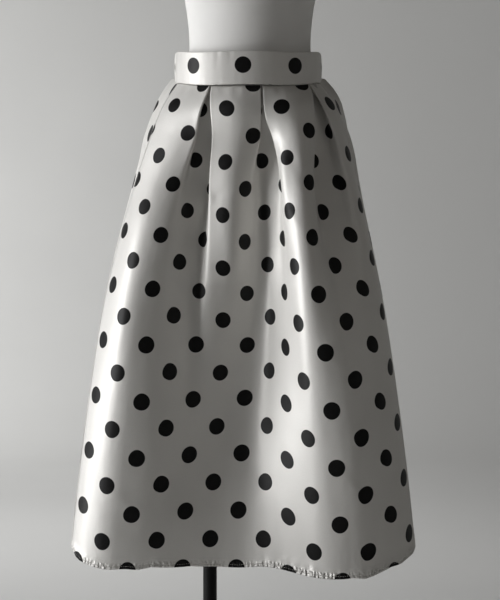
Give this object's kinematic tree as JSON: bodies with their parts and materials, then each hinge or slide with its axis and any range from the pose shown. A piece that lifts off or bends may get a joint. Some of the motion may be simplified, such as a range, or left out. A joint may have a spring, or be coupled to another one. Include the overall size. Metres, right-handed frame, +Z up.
{
  "type": "flared skirt on dress form",
  "caption": "Flared midi skirt with inverted box pleats in front and a gathered back, on a plain limbless dress form with a pole stand and round base.",
  "frame": {"origin": "centre of the stand base's underside, on the floor and on the pole's axis", "axes": "+Z up along the pole, -Y towards the front of the skirt, +X to the right as the front is seen"},
  "size_m": [0.5315, 0.36, 1.5653],
  "materials": {
    "front_satin": "satin weave, ivory with a staggered print of round black dots",
    "back_satin": "satin weave, ivory with a staggered print of round black dots",
    "band_satin": "satin weave over a firm band",
    "back_band_satin": "satin weave gathered on elastic",
    "form_cover": "matt white jersey stretched over the form",
    "cap_wood": "dark stained, satin",
    "black_steel": "black powder coat"
  },
  "bodies": {
    "root": {"skirt_front": "front_satin", "skirt_back": "back_satin", "waistband_front": "band_satin", "waistband_back": "back_band_satin", "dress_form": "form_cover", "neck_cap": "cap_wood", "stand_pole": "black_steel", "form_plate": "black_steel", "base_collar": "black_steel", "stand_base": "black_steel"}
  },
  "joints": []
}
